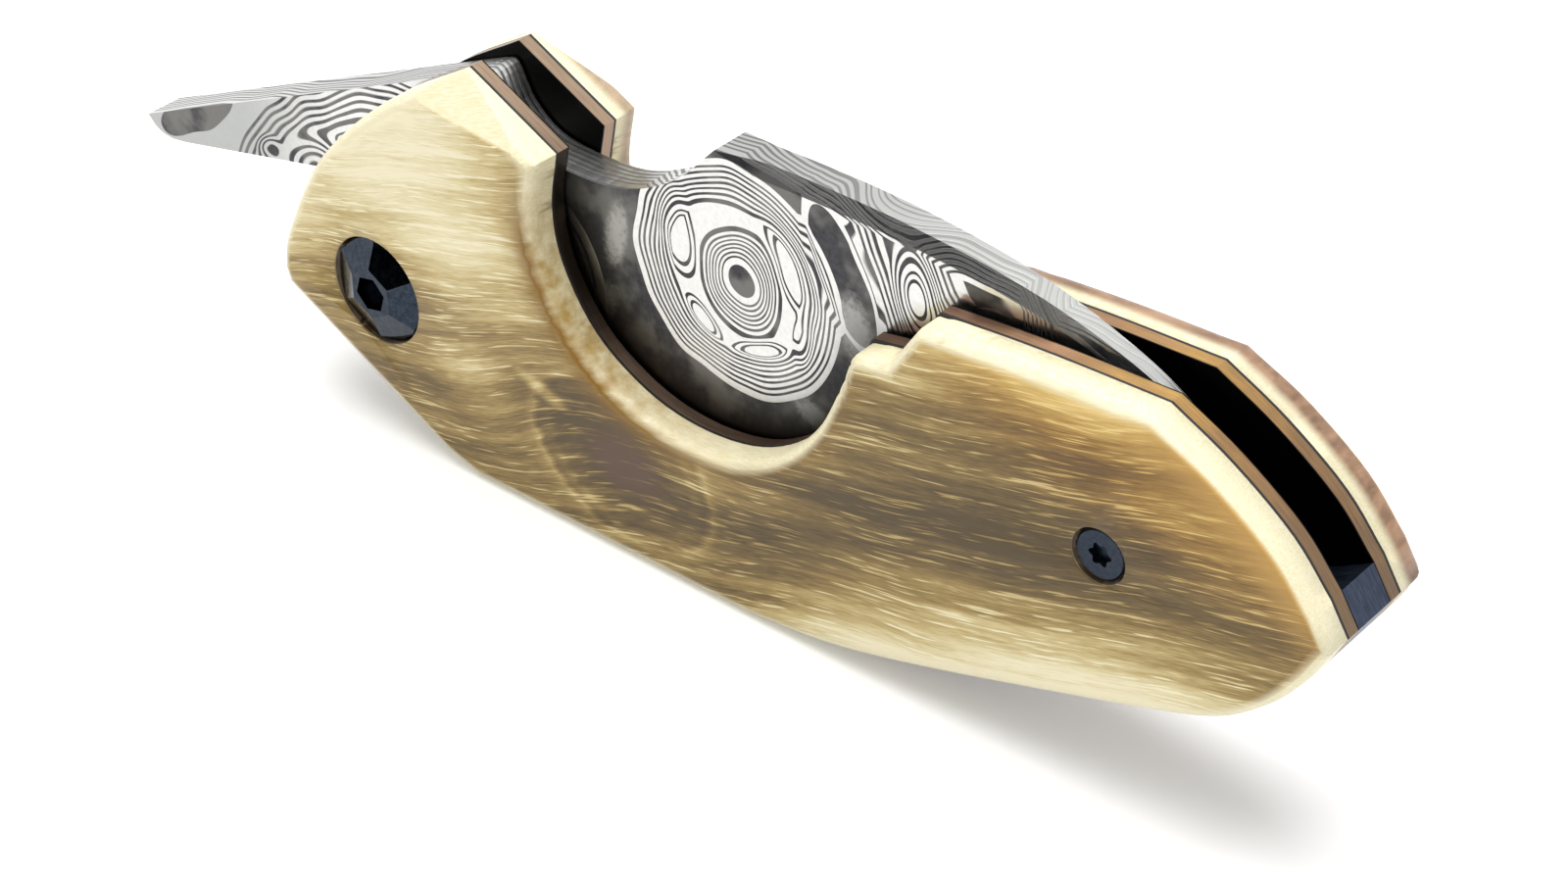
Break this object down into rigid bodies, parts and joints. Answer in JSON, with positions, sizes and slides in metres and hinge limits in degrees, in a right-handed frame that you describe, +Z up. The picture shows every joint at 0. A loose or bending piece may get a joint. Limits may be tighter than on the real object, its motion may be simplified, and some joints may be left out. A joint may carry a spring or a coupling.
{
  "type": "friction folder knife",
  "caption": "Folding knife without a lock: pattern-welded blade with a long tail beyond the pivot, finger groove, thumb notch and ivory scales on metal liners.",
  "frame": {"origin": "middle of the bounding box at the level of the surface that the folded knife stands on", "axes": "+Z up, +X along the handle to its butt with the blade's tail at -X, the near scale at -Y"},
  "size_m": [0.1422, 0.0164, 0.0442],
  "materials": {
    "damascus_steel": "etched pattern-welded steel",
    "bronze_titanium": "satin, bronze anodised",
    "fossil_ivory": "polished fossil ivory",
    "black_fibre": "matt",
    "blued_titanium": "satin, blue-black anodised",
    "black_steel": "polished black",
    "pin_steel": "ground",
    "phosphor_bronze": "smooth"
  },
  "bodies": {
    "handle": {"liner_near": "bronze_titanium", "liner_far": "bronze_titanium", "fibre_near": "black_fibre", "fibre_far": "black_fibre", "scale_near": "fossil_ivory", "scale_far": "fossil_ivory", "backspacer": "blued_titanium", "pivot_barrel": "black_steel", "pivot_screw": "black_steel", "washer_near": "phosphor_bronze", "washer_far": "phosphor_bronze", "rear_screw_near": "black_steel", "rear_screw_far": "black_steel", "stop_pin": "pin_steel", "front_dowel": "pin_steel", "rear_dowel": "pin_steel", "liner_screw_near_front": "pin_steel", "liner_screw_near_rear": "pin_steel", "liner_screw_far_front": "pin_steel", "liner_screw_far_rear": "pin_steel"},
    "blade": {"blade": "damascus_steel"}
  },
  "joints": [
    {"name": "blade_turn", "type": "hinge", "parent": "handle", "child": "blade", "pos_m": [-0.0335, 0, 0.0165], "axis": [0, -1, 0], "range_deg": [0, 155.7]}
  ]
}
